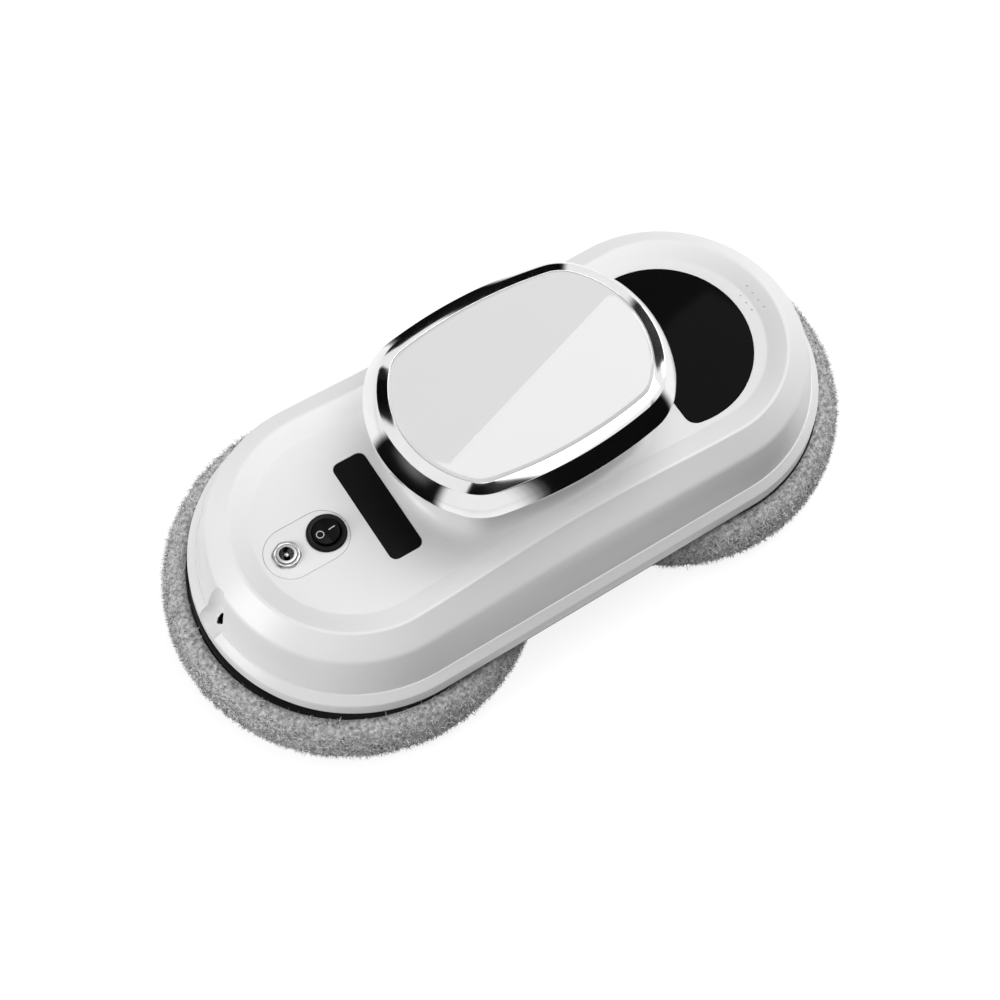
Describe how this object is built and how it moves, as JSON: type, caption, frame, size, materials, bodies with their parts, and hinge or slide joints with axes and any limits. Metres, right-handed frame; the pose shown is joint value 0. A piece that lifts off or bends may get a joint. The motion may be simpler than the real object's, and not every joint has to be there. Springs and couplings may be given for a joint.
{
  "type": "window cleaning robot",
  "caption": "Oblong window cleaning robot with turning cloth discs, a suction fan under a raised turret cap, a rocker switch and a plug socket.",
  "frame": {"origin": "on the glass, midway between the axes of the cleaning discs, at the bottom centre of the bounding box", "axes": "+Z away from the glass, +X along the body from the plug socket towards the dark sensor window"},
  "size_m": [0.2944, 0.1468, 0.1],
  "materials": {
    "white_shell": "gloss white moulded shell",
    "black_chassis": "fine grained black moulding",
    "screw_steel": "zinc plated",
    "chrome_ring": "mirror chrome plating",
    "white_glass": "back-painted white glass",
    "dark_window": "polished dark acrylic",
    "plate_black": "satin black film",
    "switch_black": "satin black",
    "rocker_black": "satin black",
    "brass": "plain",
    "nickel": "nickel plated",
    "inner_plastic": "as moulded",
    "motor_metal": "drawn steel can",
    "shaft_steel": "ground",
    "board_green": "solder mask",
    "chip_black": "moulded",
    "cell_film": "shrink film",
    "gear_plastic": "natural acetal",
    "disc_plastic": "as moulded",
    "bush_bronze": "sintered bronze",
    "microfibre": "short looped pile"
  },
  "bodies": {
    "body": {"top_shell": "white_shell", "turret_neck": "white_shell", "base_plate": "black_chassis", "body_screws": "screw_steel", "cap_base": "white_shell", "cap_screws": "screw_steel", "chrome_ring": "chrome_ring", "cap_glass": "white_glass", "sensor_window": "dark_window", "rating_plate": "plate_black", "control_plate": "white_shell", "switch_body": "switch_black", "switch_terminals": "brass", "jack_socket": "nickel", "jack_pin": "brass", "jack_nut": "nickel", "suction_duct": "inner_plastic", "fan_housing": "inner_plastic", "housing_screws": "screw_steel", "diffuser": "inner_plastic", "fan_motor": "motor_metal", "main_board": "board_green", "board_chips": "chip_black", "remote_receiver": "chip_black", "buzzer": "chip_black", "battery_tray": "inner_plastic", "battery_cells": "cell_film", "drive_motor_left": "motor_metal", "drive_motor_right": "motor_metal", "motor_screws": "screw_steel", "suction_grille_left": "black_chassis", "suction_grille_right": "black_chassis", "grille_screws": "screw_steel"},
    "left_disc": {"drive_disc_left": "disc_plastic", "disc_gear_left": "gear_plastic", "hub_bush_left": "bush_bronze", "carrier_ring_left": "disc_plastic", "cloth_ring_left": "microfibre"},
    "right_disc": {"drive_disc_right": "disc_plastic", "disc_gear_right": "gear_plastic", "hub_bush_right": "bush_bronze", "carrier_ring_right": "disc_plastic", "cloth_ring_right": "microfibre"},
    "left_pinion": {"pinion_shaft_left": "shaft_steel", "pinion_left": "gear_plastic"},
    "right_pinion": {"pinion_shaft_right": "shaft_steel", "pinion_right": "gear_plastic"},
    "fan": {"fan_shaft": "shaft_steel", "impeller": "inner_plastic"},
    "switch_rocker": {"rocker": "rocker_black"}
  },
  "joints": [
    {"name": "left_disc_spin", "type": "hinge", "parent": "body", "child": "left_disc", "pos_m": [-0.0738, 0, 0.0127], "axis": [0, 0, 1], "continuous": true},
    {"name": "right_disc_spin", "type": "hinge", "parent": "body", "child": "right_disc", "pos_m": [0.0738, 0, 0.0127], "axis": [0, 0, 1], "continuous": true},
    {"name": "left_pinion_spin", "type": "hinge", "parent": "body", "child": "left_pinion", "pos_m": [-0.05424, 0.03388, 0.018], "axis": [0, 0, 1], "continuous": true},
    {"name": "right_pinion_spin", "type": "hinge", "parent": "body", "child": "right_pinion", "pos_m": [0.05424, -0.03388, 0.018], "axis": [0, 0, 1], "continuous": true},
    {"name": "fan_spin", "type": "hinge", "parent": "body", "child": "fan", "pos_m": [0, 0, 0.04], "axis": [0, 0, 1], "continuous": true},
    {"name": "rocker_press", "type": "hinge", "parent": "body", "child": "switch_rocker", "pos_m": [-0.0824, 0, 0.0585], "axis": [0, 1, 0], "range_deg": [0, 14]}
  ],
  "couplings": [
    {"joint": "left_pinion_spin", "follows": "left_disc_spin", "ratio": -3.3333},
    {"joint": "right_pinion_spin", "follows": "right_disc_spin", "ratio": -3.3333}
  ]
}
